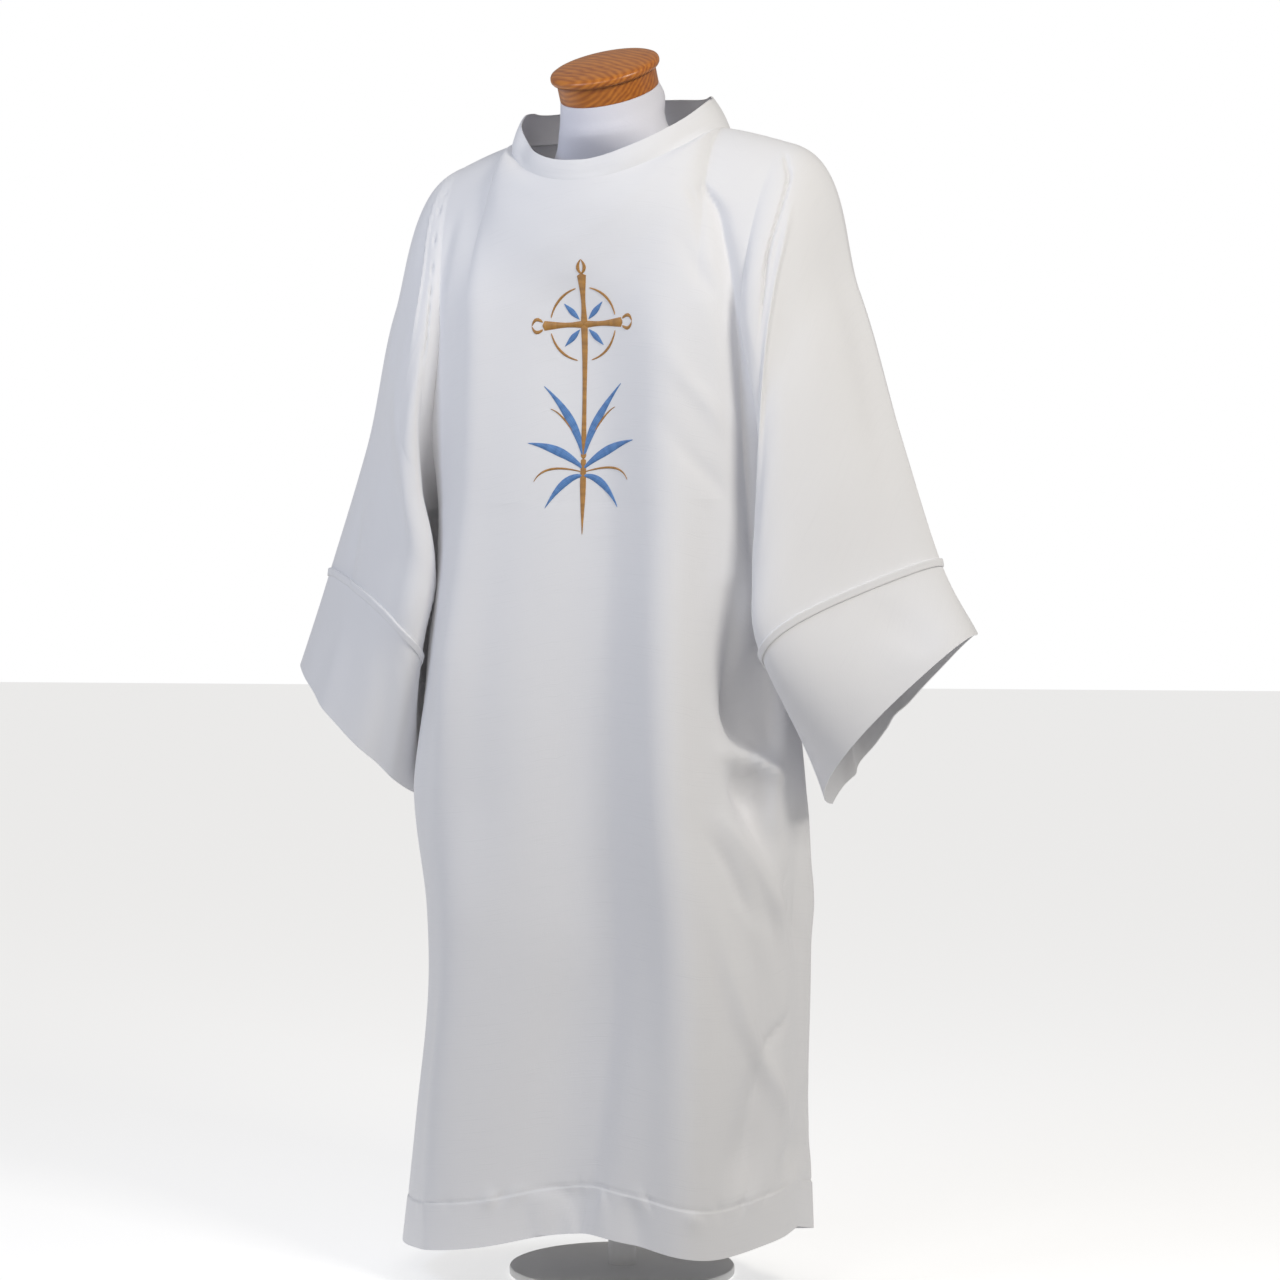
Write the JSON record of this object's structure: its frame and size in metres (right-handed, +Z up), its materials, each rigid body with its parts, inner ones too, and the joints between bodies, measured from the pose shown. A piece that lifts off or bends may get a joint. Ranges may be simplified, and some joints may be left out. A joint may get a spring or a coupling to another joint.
{
  "type": "dalmatic on a dress form",
  "caption": "White wide-sleeved dalmatic with a stand collar and deep sleeve bands, worn by a limbless dress form on a round base.",
  "frame": {"origin": "middle of the base's flat underside, on the floor", "axes": "+Z up, -Y the way the front of the garment faces, +X towards the wearer's left"},
  "size_m": [0.859, 0.3139, 1.4143],
  "materials": {
    "white_cloth": "white vestment cloth, plain weave with fine crosswise slubs and a low soft sheen",
    "jersey": "white cotton jersey stretched over the form",
    "wood": "orange-brown wood under satin varnish",
    "white_lacquer": "white satin powder coat on steel",
    "gold_thread": "old-gold embroidery thread in satin stitch, with a soft shine",
    "blue_thread": "mid-blue embroidery thread in satin stitch, with a soft shine"
  },
  "bodies": {
    "root": {"front": "white_cloth", "back": "white_cloth", "sleeve_left": "white_cloth", "sleeve_right": "white_cloth", "band_left": "white_cloth", "band_right": "white_cloth", "welt_left": "white_cloth", "welt_right": "white_cloth", "collar": "white_cloth", "form_torso": "jersey", "form_neck_ring": "wood", "form_cap": "wood", "form_pole": "white_lacquer", "form_base": "white_lacquer"}
  },
  "joints": []
}
